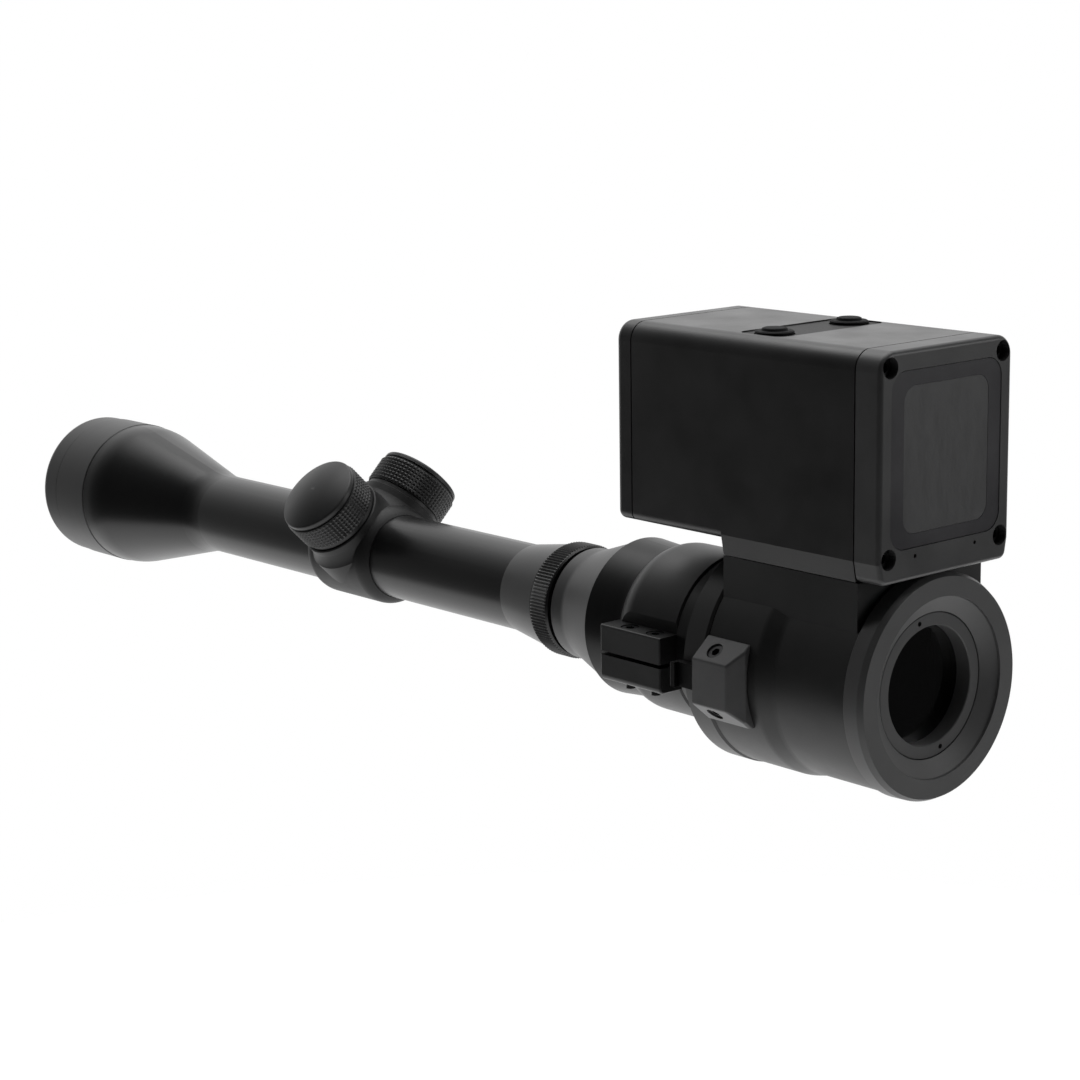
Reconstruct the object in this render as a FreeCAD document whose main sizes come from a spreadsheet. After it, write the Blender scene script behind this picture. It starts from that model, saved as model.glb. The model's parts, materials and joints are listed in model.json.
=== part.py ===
import FreeCAD, Part
import math
import os

import Sketcher
from FreeCAD import Placement, Rotation, Vector

# Telescopic sight with a camera and display unit clamped round its eyepiece.
#
# Millimetres. +X runs along the optical axis from the objective towards the eye, +Z is up with the camera box
# upright, and the origin is where the two turret axes cross the optical axis. The turrets point 45 degrees to
# each side of +Z, the elevation turret on the -Y side and the windage turret on the +Y side.

os.makedirs("parts", exist_ok=True)
doc = FreeCAD.newDocument("sight_camera")
sheet = doc.addObject("Spreadsheet::Sheet", "Sizes")
finished = []  # the objects written as sub-parts, in the order they are made


# ---------------------------------------------------------------- sizes and how the pieces are bound to them


class Size:
    """A length from the sheet: its value, and the words that say the same thing to the sheet."""

    def __init__(self, value, words):
        self.value = float(value)
        self.words = words

    @staticmethod
    def of(other):
        return other if isinstance(other, Size) else Size(other, repr(float(other)))

    def __add__(self, other):
        other = Size.of(other)
        return Size(self.value + other.value, f"({self.words} + {other.words})")

    def __sub__(self, other):
        other = Size.of(other)
        return Size(self.value - other.value, f"({self.words} - {other.words})")

    def __mul__(self, other):
        other = Size.of(other)
        return Size(self.value * other.value, f"({self.words} * {other.words})")

    def __truediv__(self, other):
        other = Size.of(other)
        return Size(self.value / other.value, f"({self.words} / {other.words})")

    def __radd__(self, other):
        return Size.of(other) + self

    def __rsub__(self, other):
        return Size.of(other) - self

    def __rmul__(self, other):
        return Size.of(other) * self

    def __neg__(self):
        return Size.of(0.0) - self


sheet_row = 1


def size(name, value, meaning):
    """Write one named size on the sheet and hand it back for use."""
    global sheet_row
    sheet.set(f"A{sheet_row}", meaning)
    sheet.set(f"B{sheet_row}", str(value))
    sheet.setAlias(f"B{sheet_row}", name)
    sheet_row += 1
    return Size(value, f"Sizes.{name}")


def bind(thing, prop, value):
    """Drive a property from the sheet."""
    thing.setExpression(prop, Size.of(value).words)


def place(thing, x=0.0, y=0.0, z=0.0, turn=None):
    """Give a piece its own place; the three offsets stay bound to the sheet."""
    spot = Vector(Size.of(x).value, Size.of(y).value, Size.of(z).value)
    thing.Placement = Placement(spot, turn or Rotation())
    for letter, value in (("x", x), ("y", y), ("z", z)):
        if isinstance(value, Size):
            bind(thing, f".Placement.Base.{letter}", value)


def done(thing, label):
    """Name a finished sub-part."""
    thing.Label = label
    finished.append(thing)
    return thing


# ---------------------------------------------------------------- sketches and solids


def origin_plane(body, role):
    return next(f for f in body.Origin.OriginFeatures if f.Role == role)


def sketch_on(body, role):
    sketch = body.newObject("Sketcher::SketchObject", "Sketch")
    sketch.AttachmentSupport = (origin_plane(body, role), [""])
    sketch.MapMode = "FlatFace"
    return sketch


def hold_point(sketch, curve, end, letter, value, name):
    """Hold one coordinate of a corner; a zero puts the corner on the axis itself."""
    value = Size.of(value)
    if abs(value.value) < 1e-9:
        axis = -2 if letter == "x" else -1
        sketch.addConstraint(Sketcher.Constraint("PointOnObject", curve, end, axis))
        return
    kind = "DistanceX" if letter == "x" else "DistanceY"
    index = sketch.addConstraint(Sketcher.Constraint(kind, -1, 1, curve, end, value.value))
    sketch.renameConstraint(index, name)
    sketch.setExpression(f"Constraints.{name}", value.words)


def draw_outline(sketch, corners, tag="p"):
    """Draw a closed outline through the corners (x, y) or (x, y, bend).

    A bend makes the side that arrives at that corner an arc of that radius: a positive bend keeps the arc's
    centre on the left of the direction of travel, a negative one on the right.
    """
    count = len(corners)
    points = [Vector(Size.of(c[0]).value, Size.of(c[1]).value, 0) for c in corners]
    curves = []
    for i in range(count):
        start = points[i]
        j = (i + 1) % count
        end = points[j]
        bend = Size.of(corners[j][2]).value if len(corners[j]) > 2 else 0.0
        if bend == 0.0:
            index = sketch.addGeometry(Part.LineSegment(start, end), False)
            curves.append((index, 1, 2))
            continue
        along = end - start
        left = Vector(-along.y, along.x, 0).normalize()
        rise = math.sqrt(max(bend * bend - along.Length * along.Length / 4.0, 0.0))
        centre = (start + end) * 0.5 + left * math.copysign(rise, bend)
        circle = Part.Circle(centre, Vector(0, 0, 1), abs(bend))
        angle_start = math.atan2(start.y - centre.y, start.x - centre.x)
        angle_end = math.atan2(end.y - centre.y, end.x - centre.x)
        if bend > 0:
            arc = Part.ArcOfCircle(circle, angle_start, angle_end)
            index = sketch.addGeometry(arc, False)
            curves.append((index, 1, 2))
        else:
            arc = Part.ArcOfCircle(circle, angle_end, angle_start)
            index = sketch.addGeometry(arc, False)
            curves.append((index, 2, 1))
        radius = sketch.addConstraint(Sketcher.Constraint("Radius", index, abs(bend)))
        if isinstance(corners[j][2], Size):
            words = corners[j][2].words if bend > 0 else (-corners[j][2]).words
            sketch.renameConstraint(radius, f"{tag}bend{j}")
            sketch.setExpression(f"Constraints.{tag}bend{j}", words)
    for i in range(count):
        here, start_end, _ = curves[i]
        before, _, before_end = curves[i - 1]
        sketch.addConstraint(Sketcher.Constraint("Coincident", before, before_end, here, start_end))
        hold_point(sketch, here, start_end, "x", corners[i][0], f"{tag}x{i}")
        hold_point(sketch, here, start_end, "y", corners[i][1], f"{tag}y{i}")


def draw_circle(sketch, x, y, radius, tag="c"):
    x, y, radius = Size.of(x), Size.of(y), Size.of(radius)
    circle = Part.Circle(Vector(x.value, y.value, 0), Vector(0, 0, 1), radius.value)
    index = sketch.addGeometry(circle, False)
    rule = sketch.addConstraint(Sketcher.Constraint("Radius", index, radius.value))
    sketch.renameConstraint(rule, f"{tag}radius")
    sketch.setExpression(f"Constraints.{tag}radius", radius.words)
    hold_point(sketch, index, 3, "x", x, f"{tag}x")
    hold_point(sketch, index, 3, "y", y, f"{tag}y")


def spun(name, corners):
    """A body turned about its own X axis from an outline of (distance along, radius)."""
    body = doc.addObject("PartDesign::Body", name)
    sketch = sketch_on(body, "XZ_Plane")
    draw_outline(sketch, corners)
    turned = body.newObject("PartDesign::Revolution", "Turned")
    turned.Profile = sketch
    turned.ReferenceAxis = (sketch, ["H_Axis"])
    turned.Angle = 360.0
    sketch.Visibility = False
    doc.recompute()
    return body


def extruded(name, role, corners, length, centred=False):
    """A body padded from a closed outline on one of its own planes."""
    body = doc.addObject("PartDesign::Body", name)
    sketch = sketch_on(body, role)
    draw_outline(sketch, corners)
    pad = body.newObject("PartDesign::Pad", "Pad")
    pad.Profile = sketch
    bind(pad, "Length", length)
    pad.Midplane = centred
    sketch.Visibility = False
    doc.recompute()
    return body


def cut_outline(body, role, corners, reversed_way=False, length=None, offset=0.0):
    """Cut an outline drawn on one of the body's planes, right through or to a depth."""
    sketch = sketch_on(body, role)
    if isinstance(offset, Size) or offset:
        bind(sketch, "AttachmentOffset.Base.z", offset)
    draw_outline(sketch, corners)
    return cut_sketch(body, sketch, reversed_way, length)


def cut_circles(body, role, circles, reversed_way=False, length=None, offset=0.0):
    """Cut round holes (x, y, radius) drawn on one of the body's planes."""
    sketch = sketch_on(body, role)
    if isinstance(offset, Size) or offset:
        bind(sketch, "AttachmentOffset.Base.z", offset)
    for i, (x, y, radius) in enumerate(circles):
        draw_circle(sketch, x, y, radius, f"c{i}")
    return cut_sketch(body, sketch, reversed_way, length)


def cut_sketch(body, sketch, reversed_way, length):
    doc.recompute()
    before = body.Shape.Volume
    pocket = body.newObject("PartDesign::Pocket", "Pocket")
    pocket.Profile = sketch
    if length is None:
        pocket.Type = "ThroughAll"
        pocket.Midplane = True
    else:
        bind(pocket, "Length", length)
        pocket.Reversed = reversed_way
    sketch.Visibility = False
    doc.recompute()
    removed = before - body.Shape.Volume
    if removed < 1e-3:
        raise RuntimeError(f"{body.Name}: a pocket removed nothing")
    return pocket


def edges_where(shape, test):
    """Names of the edges that pass a test."""
    return [f"Edge{i + 1}" for i, edge in enumerate(shape.Edges) if not edge.Degenerated and test(edge)]


def is_ring(edge, x, radius, slack=0.05):
    """True for a full circle round the X axis at a given distance along and radius."""
    curve = edge.Curve
    if not isinstance(curve, Part.Circle):
        return False
    round_x = abs(abs(curve.Axis.x) - 1.0) < 1e-6
    return round_x and abs(curve.Center.x - x) < slack and abs(curve.Radius - radius) < slack


def round_rings(body, rings):
    """Round the circular edges found at (distance along, radius) by the radius given third."""
    for x, radius, rounding in rings:
        here = Size.of(x).value
        reach = Size.of(radius).value
        base = body.Tip
        names = edges_where(base.Shape, lambda e: is_ring(e, here, reach))
        if not names:
            raise RuntimeError(f"{body.Name}: no ring edge at {here}, {reach}")
        fillet = body.newObject("PartDesign::Fillet", "Rounded")
        fillet.Base = (base, names)
        bind(fillet, "Radius", rounding)
        doc.recompute()
    return body


def round_edges(body, test, rounding):
    """Round the edges of a body that pass a test in the body's own frame."""
    base = body.Tip
    names = edges_where(base.Shape, test)
    if not names:
        raise RuntimeError(f"{body.Name}: no edge to round")
    fillet = body.newObject("PartDesign::Fillet", "Rounded")
    fillet.Base = (base, names)
    bind(fillet, "Radius", rounding)
    doc.recompute()
    return body


def rod(name, radius, length, x=0.0, y=0.0, z=0.0, turn=None):
    """A round bar that starts at its place and runs along its own Z."""
    bar = doc.addObject("Part::Cylinder", name)
    bind(bar, "Radius", radius)
    bind(bar, "Height", length)
    place(bar, x, y, z, turn)
    return bar


def block(name, along, across, up, x, y, z):
    """A box from its corner (x, y, z)."""
    box = doc.addObject("Part::Box", name)
    bind(box, "Length", along)
    bind(box, "Width", across)
    bind(box, "Height", up)
    place(box, x, y, z)
    return box


def joined(name, pieces):
    fuse = doc.addObject("Part::MultiFuse", name)
    fuse.Shapes = pieces
    fuse.Refine = True
    doc.recompute()
    return fuse


def without(name, base, tools):
    """Cut the tools from the base one after another, checking that each takes something away."""
    result = base
    for i, tool in enumerate(tools):
        cut = doc.addObject("Part::Cut", f"{name}_{i}")
        cut.Base = result
        cut.Tool = tool
        doc.recompute()
        if result.Shape.Volume - cut.Shape.Volume < 1e-3:
            raise RuntimeError(f"{name}: tool {i} removed nothing")
        result = cut
    return result


def softened(name, base, test, rounding):
    """Round the edges of a finished shape that pass a test."""
    fillet = doc.addObject("Part::Fillet", name)
    fillet.Base = base
    chosen = [i + 1 for i, edge in enumerate(base.Shape.Edges) if not edge.Degenerated and test(edge)]
    if not chosen:
        raise RuntimeError(f"{name}: no edge to round")
    fillet.Edges = [(i, rounding, rounding) for i in chosen]
    doc.recompute()
    if fillet.Shape.isNull() or not fillet.Shape.isValid():
        raise RuntimeError(f"{name}: the rounding failed")
    return fillet


def middle(edge):
    return edge.valueAt((edge.FirstParameter + edge.LastParameter) / 2.0)


def grouped(name, pieces):
    """Keep identical pieces together as separate solids of one object."""
    group = doc.addObject("Part::Compound", name)
    group.Links = pieces
    doc.recompute()
    return group


ALONG_X = Rotation(Vector(0, 1, 0), 90)  # a bar's own Z laid along +X


# ---------------------------------------------------------------- sizes

# the sight
tube_radius = size("tube_radius", 12.7, "main tube, outside")
tube_bore = size("tube_bore", 11.2, "main tube, inside")
thin = size("thin", 0.05, "running clearance between turning pieces")
bell_radius = size("bell_radius", 23.7, "objective bell, outside, at its front edge")
bell_front = size("bell_front", -131.0, "where the bell shows behind the objective ring")
ring_front = size("ring_front", -157.8, "front rim of the objective ring")
lens_radius = size("lens_radius", 20.5, "objective lenses")
boss_top = size("boss_top", 16.8, "height of the turret bosses above the axis")
neck_radius = size("neck_radius", 9.6, "threaded necks under the turret caps")
cap_radius = size("cap_radius", 12.9, "turret caps, outside")
saddle_radius = size("saddle_radius", 15.1, "turret saddle round the tube")
erector_radius = size("erector_radius", 8.5, "erector tube, outside")
gimbal_x = size("gimbal_x", 66.0, "where the erector tube is hung")
lock_front = size("lock_front", 77.0, "front edge of the lock ring")
lock_rear = size("lock_rear", 100.4, "rear edge of the lock ring")
neck_front = size("neck_front", 101.6, "front edge of the ocular neck")
bell_step = size("bell_step", 122.4, "front edge of the ocular bell")
bell_rear = size("bell_rear", 150.0, "rear end of the ocular bell")
grip_radius = size("grip_radius", 20.9, "what the clamp ring grips")

# main tube and objective
tube_rear = size("tube_rear", 112.0, "rear end of the main tube inside the ocular neck")
plunger_radius = size("plunger_radius", 2.5, "plungers that push the erector tube")
slot_width = size("slot_width", 1.6, "spanner slots in the objective lock ring")

# turret saddle, caps, dials, plungers
saddle_half = size("saddle_half", 15.4, "half length of the turret saddle along the tube")
boss_radius = size("boss_radius", 13.3, "turret bosses")
cap_base = size("cap_base", 17.0, "underside of the turret caps above the axis")

# erector tube and its hanging
erector_front = size("erector_front", -26.0, "front end of the erector tube")
gimbal_pin = size("gimbal_pin", 0.8, "radius of the gimbal pins")

# clamp ring, its screws, the adapter sleeve
clamp_front = size("clamp_front", 135.8, "front face of the clamp ring")
clamp_length = size("clamp_length", 22.8, "length of the clamp ring")
clamp_radius = size("clamp_radius", 23.0, "clamp ring, outside")
clamp_near = size("clamp_near", 28.0, "how far the clamp block reaches from the axis")
clamp_mid = size("clamp_mid", -2.8, "height of the slit in the clamp block")
clamp_top = size("clamp_top", 4.8, "top face of the clamp block")
clamp_bottom = size("clamp_bottom", -10.3, "underside of the clamp block")
clamp_screw = size("clamp_screw", 1.25, "clamp screw shanks")
screw_y = size("screw_y", -24.4, "clamp screws, distance to the near side of the axis")

# camera barrel, flange, latch
flange_front = size("flange_front", 168.6, "front face of the flange")
flange_radius = size("flange_radius", 29.7, "flange, outside")
barrel_front = size("barrel_front", 176.5, "front face of the camera barrel")
barrel_radius = size("barrel_radius", 28.3, "camera barrel, outside, behind its step")
shoulder_radius = size("shoulder_radius", 29.35, "camera barrel, outside, in front of its step")
barrel_rear = size("barrel_rear", 222.7, "rear face of the camera barrel")
swivel_bore = size("swivel_bore", 20.56, "bore that turns on the adapter sleeve")
chamber = size("chamber", 24.55, "optical chamber inside the barrel")
plinth_half = size("plinth_half", 22.9, "half width of the plinth under the box")
box_half = size("box_half", 24.0, "half width of the box")
box_top = size("box_top", 85.3, "top of the box")
box_bottom = size("box_bottom", 33.3, "underside of the box ahead of the plinth")
riser_bottom = size("riser_bottom", 29.2, "underside of the box over the plinth")
latch_mid = size("latch_mid", -1.7, "middle height of the latch")
latch_near = size("latch_near", 34.0, "how far the latch block reaches from the axis")
latch_screw_x = size("latch_screw_x", 182.0, "latch screws along the axis")
latch_front = size("latch_front", 176.7, "front face of the latch block")
pin_x = size("pin_x", 186.8, "latch pin along the axis")
pin_y = size("pin_y", -31.2, "latch pin, near side of the axis")

# rear collar, eye window, prisms
collar_front = size("collar_front", 216.0, "front end of the rear collar inside the barrel")
cube = size("cube", 11.0, "half side of the cemented prism cube")
cube_x = size("cube_x", 193.5, "front face of the prism cube")

# box: body, covers, gaskets
body_front = size("body_front", 144.6, "front end of the box body")
body_rear = size("body_rear", 221.5, "rear end of the box body")
edge_round = size("edge_round", 5.0, "rounding of the long top edges")
low_round = size("low_round", 2.3, "rounding of the long bottom edges")
wall = size("wall", 2.0, "wall of the box")
strip_x = size("strip_x", 185.5, "middle of the button strip along the axis")
strip_half = size("strip_half", 7.6, "half width of the button strip")
strip_reach = size("strip_reach", 19.2, "half length of the button strip")
button_y = size("button_y", 13.6, "buttons, distance from the middle plane")
button_radius = size("button_radius", 4.95, "button flange")
bezel_front = size("bezel_front", 221.9, "front face of the rear bezel")
bezel_rear = size("bezel_rear", 229.7, "rear face of the rear bezel")
panel_half = size("panel_half", 15.4, "half width of the display window")
panel_low = size("panel_low", 40.6, "lower edge of the display window")
panel_high = size("panel_high", 76.5, "upper edge of the display window")


# ---------------------------------------------------------------- main tube and objective

spigot_front = bell_front - 12.0
start = spigot_front
main_tube = spun(
    "MainTube",
    [
        (0, 20.0),
        (0, 22.0),
        (bell_front - start, 22.0),
        (bell_front - start, bell_radius),
        (bell_front + 6.5 - start, bell_radius - 0.3),
        (bell_front + 49.5 - start, tube_radius),
        (lock_rear - 1.4 - start, tube_radius),
        (lock_rear - 1.4 - start, 12.0),
        (tube_rear - start, 12.0),
        (tube_rear - start, tube_bore - 0.4),
        (bell_front + 47.0 - start, tube_bore - 0.4),
        (bell_front + 9.0 - start, 20.0),
    ],
)
round_rings(main_tube, [(bell_front + 6.5 - start, bell_radius - 0.3, 36.0)])
round_rings(main_tube, [(bell_front + 49.5 - start, tube_radius, 34.0)])
round_rings(main_tube, [(bell_front - start, bell_radius, 0.4)])
place(main_tube, start)

ELEVATION = Rotation(Vector(1, 0, 0), 45)  # a bar's own Z laid along the elevation turret axis
WINDAGE = Rotation(Vector(1, 0, 0), -45)  # the same for the windage turret axis
TURRETS = (("elevation", ELEVATION), ("windage", WINDAGE))

holes = [rod(f"TubeHole_{n}", plunger_radius + 0.15, 16.0, turn=turn) for n, turn in TURRETS]
pin_reach = WINDAGE.multVec(Vector(0, 0, -12.35))
holes.append(rod("TubePinHole", gimbal_pin + thin, 24.7, gimbal_x, pin_reach.y, pin_reach.z, WINDAGE))
main_tube = without("TubeDrilled", main_tube, holes)
done(main_tube, "main_tube")

ring_length = bell_front - ring_front - 0.1
objective_ring = spun(
    "ObjectiveRing",
    [
        (0, 21.0),
        (0, bell_radius - 1.3),
        (1.6, bell_radius - 0.1),
        (9.0, bell_radius - 0.1),
        (9.15, bell_radius - 0.35),
        (9.45, bell_radius - 0.35),
        (9.6, bell_radius + 0.15),
        (ring_length - 0.3, bell_radius + 0.15),
        (ring_length, bell_radius - 0.15),
        (ring_length, 22.05),
        (spigot_front - ring_front - 0.2, 22.05),
        (spigot_front - ring_front - 0.2, 19.6),
        (spigot_front - ring_front - 1.2, 19.6),
        (spigot_front - ring_front - 1.2, 20.7),
        (3.8, 20.7),
        (3.8, 21.0),
    ],
)
round_rings(objective_ring, [(1.6, bell_radius - 0.1, 2.5), (0, bell_radius - 1.3, 0.5)])
place(objective_ring, ring_front)
done(objective_ring, "objective_ring")


def dome(reach, sag):
    """Radius of the arc that rises by the sag over the reach."""
    return (reach * reach + sag * sag) / (sag * 2.0)


def lens(name, x, radius, edge, front_sag, rear_sag):
    """A round lens; a positive sag bulges outwards, a negative one is hollow, zero is flat."""
    deep = max(front_sag, 0.0)
    corners = [(deep - front_sag, 0)]
    side = -1.0 if front_sag > 0 else 1.0
    if front_sag:
        corners.append((deep, radius, dome(radius, abs(front_sag)) * side))
    else:
        corners.append((deep, radius))
    corners.append((deep + edge, radius))
    side = -1.0 if rear_sag > 0 else 1.0
    if rear_sag:
        corners.append((deep + edge + rear_sag, 0, dome(radius, abs(rear_sag)) * side))
    else:
        corners.append((deep + edge, 0))
    body = spun(name, corners)
    place(body, x)
    return body


lens_seat = spigot_front - 1.4
done(lens("ObjectiveFlint", lens_seat - 3.6, lens_radius, 3.6, -1.8, 0.0), "objective_flint")
done(lens("ObjectiveCrown", lens_seat - 9.75, lens_radius, 3.9, 2.2, 1.75), "objective_crown")

objective_lock = spun(
    "ObjectiveLock",
    [(0, 19.8), (0, 20.4), (0.25, 20.65), (1.8, 20.65), (1.8, 19.4)],
)
cut_outline(
    objective_lock,
    "YZ_Plane",
    [(-22.0, -slot_width / 2), (22.0, -slot_width / 2), (22.0, slot_width / 2), (-22.0, slot_width / 2)],
    length=0.8,
    reversed_way=True,
)
place(objective_lock, lens_seat - 9.65)
done(objective_lock, "objective_lock_ring")

# ---------------------------------------------------------------- turret saddle, caps, dials, plungers

saddle_ring = spun(
    "SaddleRing",
    [
        (0, 10.0),
        (0, tube_radius + 0.15),
        (4.2, saddle_radius, -5.4),
        (saddle_half * 2.0 - 4.2, saddle_radius),
        (saddle_half * 2.0, tube_radius + 0.15, -5.4),
        (saddle_half * 2.0, 10.0),
    ],
)
place(saddle_ring, -saddle_half)
bosses = []
for turret, turn in TURRETS:
    flared = spun(
        f"Boss_{turret}",
        [
            (0, 0),
            (0, boss_radius + 1.6),
            (10.4, boss_radius + 1.6),
            (14.4, boss_radius, 8.0),
            (boss_top - 0.3, boss_radius),
            (boss_top, boss_radius - 0.3),
            (boss_top, 0),
        ],
    )
    place(flared, turn=turn.multiply(Rotation(Vector(0, 1, 0), -90)))
    bosses.append(flared)
saddle = joined("SaddleLump", [saddle_ring, *bosses])
necks = [rod(f"Neck_{n}", neck_radius, 25.2, turn=turn) for n, turn in TURRETS]
saddle = joined("SaddleNecks", [saddle, *necks])
tools = [rod("SaddleBore", tube_radius + 0.02, 40.0, -20.0, turn=ALONG_X)]
for turret, turn in TURRETS:
    tools.append(rod(f"PlungerBore_{turret}", plunger_radius + 0.15, 20.0, turn=turn))
    up = turn.multVec(Vector(0, 0, 1))
    tools.append(rod(f"HubBore_{turret}", 3.65, 10.0, 0, up.y * 16.4, up.z * 16.4, turn))
    tools.append(rod(f"DialWell_{turret}", 8.2, 10.0, 0, up.y * 20.0, up.z * 20.0, turn))
saddle = without("SaddleCut", saddle, tools)
done(saddle, "turret_saddle")

for turret, turn in TURRETS:
    out = turn.multiply(Rotation(Vector(0, 1, 0), -90))
    up = turn.multVec(Vector(0, 0, 1))

    def lift(thing, height):
        """Put a turned piece on the turret axis at a height above the optical axis."""
        place(thing, 0, up.y * height, up.z * height, out)

    cap = spun(
        f"Cap_{turret}",
        [
            (0, 11.4),
            (0, cap_radius - 0.4),
            (1.1, cap_radius - 0.4),
            (1.3, cap_radius),
            (9.5, cap_radius),
            (9.7, cap_radius - 0.55),
            (10.2, cap_radius - 0.55),
            (10.3, cap_radius - 0.15),
            (11.5, cap_radius - 0.25),
            (14.0, 0, -dome(cap_radius - 0.25, 2.5)),
            (11.0, 0),
            (11.0, 9.7),
            (1.7, 9.7),
            (1.7, 11.4),
        ],
    )
    round_rings(cap, [(11.5, cap_radius - 0.25, 0.7)])
    lift(cap, cap_base)
    done(cap, f"{turret}_cap")

    seal = doc.addObject("Part::Torus", f"CapSeal_{turret}")
    bind(seal, "Radius1", 10.5)
    bind(seal, "Radius2", 0.75)
    lift_turn = turn
    place(seal, 0, up.y * 17.8, up.z * 17.8, lift_turn)
    done(seal, f"{turret}_cap_seal")

    dial = spun(
        f"Dial_{turret}",
        [
            (0, plunger_radius + 0.06),
            (0, 3.58),
            (3.6, 3.58),
            (3.6, 7.9),
            (7.6, 7.9),
            (8.3, 7.2),
            (8.3, 0),
            (5.2, 0),
            (5.2, plunger_radius + 0.06),
        ],
    )
    cut_outline(
        dial,
        "YZ_Plane",
        [(-9.0, -0.8), (9.0, -0.8), (9.0, 0.8), (-9.0, 0.8)],
        length=1.8,
        offset=8.3,
    )
    lift(dial, 16.5)
    done(dial, f"{turret}_dial")

    plunger = spun(
        f"Plunger_{turret}",
        [(0, 0), (0, 1.2), (0.8, plunger_radius - 0.4), (3.0, plunger_radius - 0.4), (3.4, plunger_radius),
         (11.4, plunger_radius), (11.4, 0)],
    )
    lift(plunger, erector_radius + 0.12)
    done(plunger, f"{turret}_plunger")

# ---------------------------------------------------------------- erector tube and its hanging

erector_length = 100.0
erector = spun(
    "Erector",
    [
        (0, 7.4),
        (0, erector_radius - 0.3),
        (0.3, erector_radius),
        (erector_length, erector_radius),
        (erector_length, 6.2),
        (erector_length - 2.0, 6.2),
        (erector_length - 2.0, 7.4),
    ],
)
place(erector, erector_front)
pin_hole = rod("ErectorPinHole", gimbal_pin + thin, 24.0, gimbal_x, 12.0 * 0.7071, -12.0 * 0.7071, ELEVATION)
erector = without("ErectorDrilled", erector, [pin_hole])
done(erector, "erector_tube")

gimbal = spun("Gimbal", [(0, 8.95), (0, 10.4), (5.0, 10.4), (5.0, 8.95)])
place(gimbal, gimbal_x - 2.5)
gimbal_parts = [gimbal]
for sign in (-1, 1):
    out_pin = WINDAGE.multVec(Vector(0, 0, 10.0 * sign))
    in_pin = ELEVATION.multVec(Vector(0, 0, 7.7 * sign))
    far = WINDAGE if sign > 0 else WINDAGE.multiply(Rotation(Vector(1, 0, 0), 180))
    near = ELEVATION if sign > 0 else ELEVATION.multiply(Rotation(Vector(1, 0, 0), 180))
    gimbal_parts.append(rod(f"OuterPin{sign + 1}", gimbal_pin, 2.2, gimbal_x, out_pin.y, out_pin.z, far))
    gimbal_parts.append(rod(f"InnerPin{sign + 1}", gimbal_pin, 1.6, gimbal_x, in_pin.y, in_pin.z, near))
gimbal = joined("GimbalRing", gimbal_parts)
done(gimbal, "gimbal_ring")

relay_lenses = [lens(f"ErectorLens{i}", x, 7.35, 2.2, 1.2, 1.2) for i, x in enumerate((-5.0, 42.0))]
done(grouped("ErectorLenses", relay_lenses), "erector_lenses")
done(lens("Reticle", -22.0, 7.35, 1.4, 0.0, 0.0), "reticle_disc")

spring_leaf = extruded(
    "ErectorSpring",
    "XZ_Plane",
    [(-14.0, -10.5), (-12.5, -10.5), (0.0, -9.0), (12.5, -10.5), (14.0, -10.5), (12.6, -10.2),
     (0.0, -8.62), (-12.6, -10.2)],
    4.0,
    centred=True,
)
done(spring_leaf, "erector_spring")

# ---------------------------------------------------------------- lock ring and eyepiece

lock_length = lock_rear - lock_front
lock_ring = spun(
    "LockRing",
    [
        (0, tube_radius + thin),
        (0, tube_radius + 0.3),
        (lock_length - 7.6, 15.5),
        (lock_length - 7.2, 15.95),
        (lock_length - 0.4, 15.95),
        (lock_length, 15.55),
        (lock_length, tube_radius + thin),
    ],
)
place(lock_ring, lock_front)
done(lock_ring, "lock_ring")

neck_length = bell_step - neck_front
ocular_neck = spun(
    "OcularNeck",
    [
        (0, 12.1),
        (0, 15.3),
        (0.4, 15.7),
        (5.2, 15.9),
        (neck_length, 21.2),
        (neck_length, 18.5),
        (neck_length + 7.9, 18.5),
        (neck_length + 7.9, 16.9),
        (neck_length - 1.0, 16.9),
        (11.2, 13.4),
        (11.2, 12.1),
        (5.0, 12.1),
        (5.0, 13.2),
        (3.0, 13.2),
        (3.0, 12.1),
    ],
)
round_rings(ocular_neck, [(5.2, 15.9, 6.0)])
place(ocular_neck, neck_front)
done(ocular_neck, "ocular_neck")

focus_seal = doc.addObject("Part::Torus", "FocusSeal")
bind(focus_seal, "Radius1", 12.62)
bind(focus_seal, "Radius2", 0.52)
place(focus_seal, neck_front + 4.0, turn=ALONG_X)
done(focus_seal, "focus_seal")

bell_length = bell_rear - bell_step
ocular_bell = spun(
    "OcularBell",
    [
        (0, 18.55),
        (0, 21.4),
        (0.45, 21.85),
        (11.0, grip_radius + 0.1),
        (12.5, grip_radius),
        (bell_length - 0.4, grip_radius),
        (bell_length, grip_radius - 0.4),
        (bell_length, 17.2),
        (18.5, 17.2),
        (18.5, 16.1),
        (11.4, 16.1),
        (11.4, 17.2),
        (8.0, 17.2),
        (8.0, 18.55),
    ],
)
place(ocular_bell, bell_step)
done(ocular_bell, "ocular_bell")

done(lens("FieldLens", bell_step + 8.0, 17.15, 3.0, 0.0, 2.4), "field_lens")
done(lens("EyeLens", bell_step + 16.5, 17.15, 3.0, 2.4, 0.8), "eye_lens")
eye_ring = spun("EyeLensRing", [(0, 15.4), (0, 17.15), (2.6, 17.15), (2.6, 16.2)])
place(eye_ring, bell_step + 22.1)
done(eye_ring, "eye_lens_ring")

# ---------------------------------------------------------------- clamp ring, its screws, the adapter sleeve


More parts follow.
